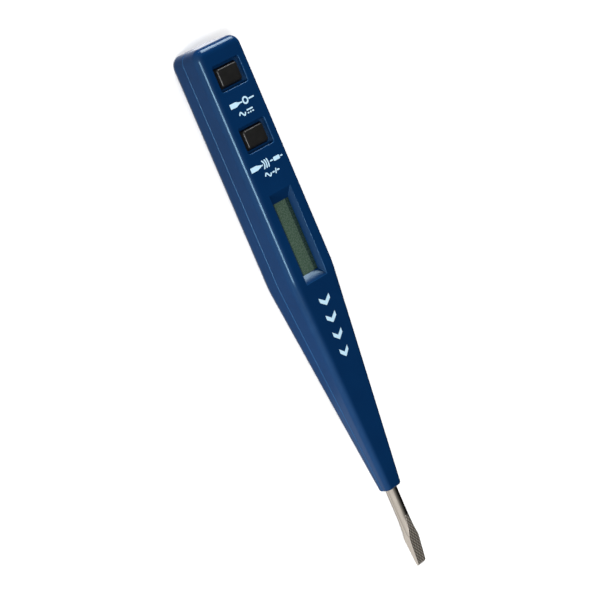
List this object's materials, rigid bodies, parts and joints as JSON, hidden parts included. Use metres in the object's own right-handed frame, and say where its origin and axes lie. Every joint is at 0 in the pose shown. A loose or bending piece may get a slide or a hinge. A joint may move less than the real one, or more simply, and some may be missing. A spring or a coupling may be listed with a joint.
{
  "type": "digital voltage test pencil",
  "caption": "Slim pencil-shaped voltage tester with a steel screwdriver blade, a small display window and sprung black test keys in a two-shell plastic casing.",
  "frame": {"origin": "bottom centre of the bounding box: on the surface the pencil lies on, midway between the blade's tip and the top end", "axes": "+Y from the blade's tip to the closed top end, +Z out of the face with the keys and the display, X across"},
  "size_m": [0.015, 0.1366, 0.0106],
  "materials": {
    "casing_plastic": "glossy moulded ABS, dark navy",
    "key_plastic": "satin moulded, black",
    "blade_steel": "polished shaft, flats pressed with a fine cross hatch",
    "spring_steel": "drawn spring wire",
    "brass_contact": "stamped and plated",
    "display_film": "polarising film, semi gloss",
    "display_glass": "clear",
    "reflector_film": "satin silver film",
    "zebra_rubber": "striped silicone",
    "board_laminate": "green solder resist",
    "epoxy": "poured drop, black",
    "chip_black": "moulded",
    "chip_ceramic": "fired ceramic",
    "resistor_coating": "lacquered, with colour bands"
  },
  "bodies": {
    "casing": {"front_shell": "casing_plastic", "rear_shell": "casing_plastic", "contact_key_spring": "spring_steel", "inductive_key_spring": "spring_steel", "contact_spring_seat": "brass_contact", "inductive_spring_seat": "brass_contact", "display_polariser": "display_film", "display_front_glass": "display_glass", "display_rear_glass": "display_glass", "display_reflector": "reflector_film", "zebra_strip_left": "zebra_rubber", "zebra_strip_right": "zebra_rubber", "circuit_board": "board_laminate", "controller_chip": "epoxy", "chip_resistor_1": "chip_black", "chip_resistor_2": "chip_black", "chip_resistor_3": "chip_black", "chip_resistor_4": "chip_black", "chip_capacitor_1": "chip_ceramic", "chip_capacitor_2": "chip_ceramic", "chip_capacitor_3": "chip_ceramic", "clamp_diode_1": "chip_black", "clamp_diode_2": "chip_black", "input_transistor": "chip_black", "safety_resistor_1": "resistor_coating", "safety_resistor_2": "resistor_coating", "screwdriver_blade": "blade_steel", "blade_contact_spring": "spring_steel", "blade_terminal": "brass_contact"},
    "contact_key": {"contact_test_button": "key_plastic"},
    "inductive_key": {"inductive_test_button": "key_plastic"}
  },
  "joints": [
    {"name": "contact_key_press", "type": "slide", "parent": "casing", "child": "contact_key", "axis": [0, 0, -1], "range_m": [0, 0.0008], "stiffness_N_per_m": 300, "springref_m": -0.001, "deforming": ["contact_key_spring"]},
    {"name": "inductive_key_press", "type": "slide", "parent": "casing", "child": "inductive_key", "axis": [0, 0, -1], "range_m": [0, 0.0008], "stiffness_N_per_m": 300, "springref_m": -0.001, "deforming": ["inductive_key_spring"]}
  ]
}
